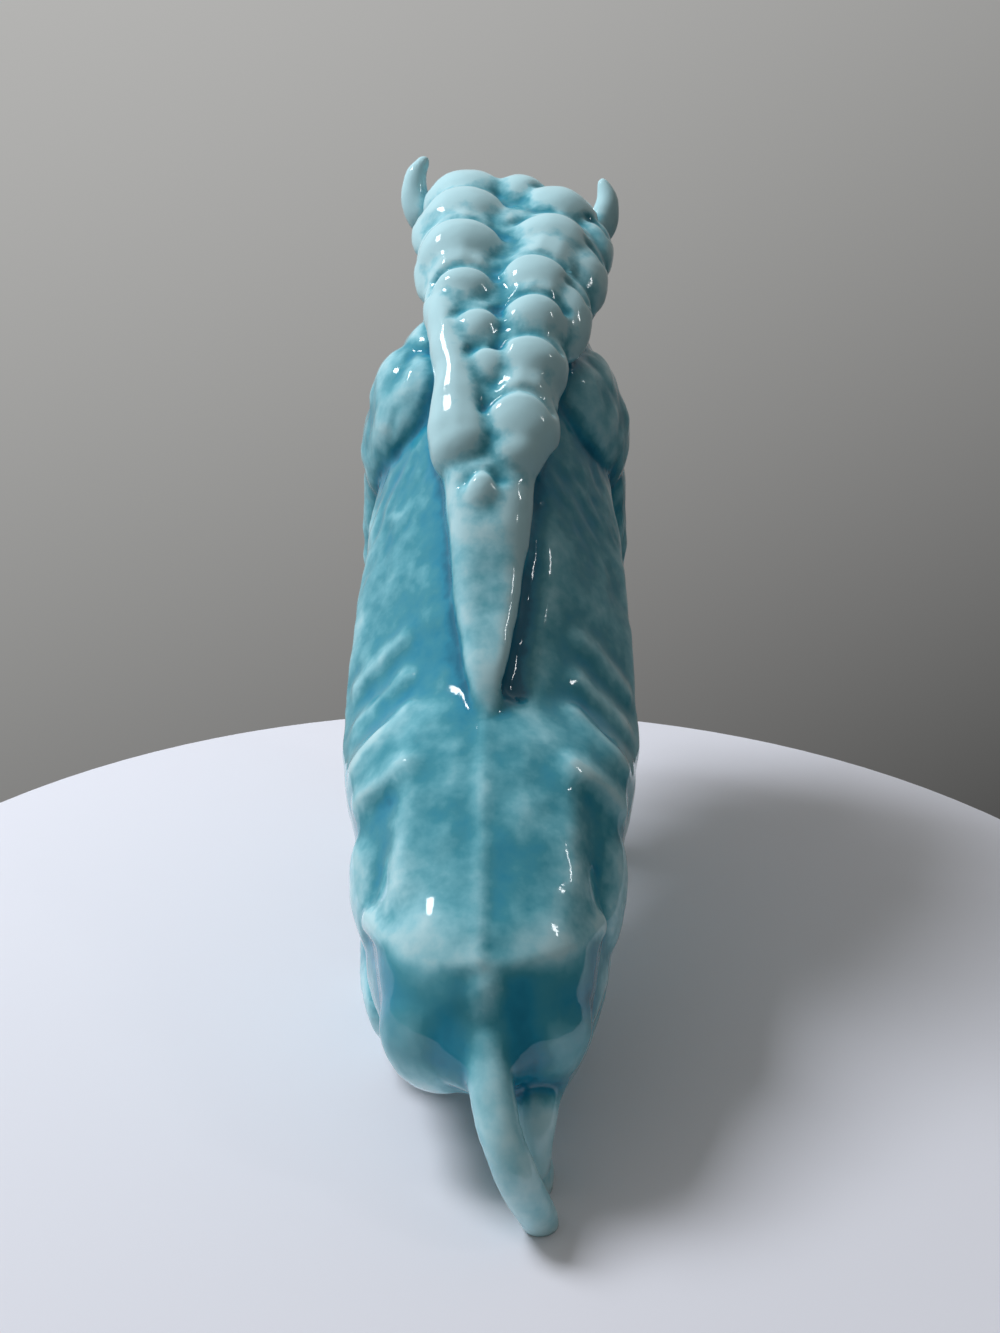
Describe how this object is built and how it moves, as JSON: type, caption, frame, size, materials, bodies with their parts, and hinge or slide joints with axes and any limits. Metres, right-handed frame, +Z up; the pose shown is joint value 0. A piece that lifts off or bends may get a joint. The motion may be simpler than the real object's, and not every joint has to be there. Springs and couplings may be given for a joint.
{
  "type": "ceramic bison figurine",
  "caption": "Glazed ceramic figurine of a bison with a crouched rump, straight front legs, curled mane, raised head and a tail hanging to the ground, standing on flat soles",
  "frame": {"origin": "On the ground plane, under the middle of the bounding box", "axes": "+Y is the way the bison faces and the longest side of the box, +X is its right side and the shortest side of the box, +Z is up"},
  "size_m": [0.1084, 0.3729, 0.2902],
  "materials": {
    "turquoise_glaze": "glossy turquoise glaze, paler on ridges and deeper in hollows"
  },
  "bodies": {
    "root": {"bison": "turquoise_glaze"}
  },
  "joints": []
}
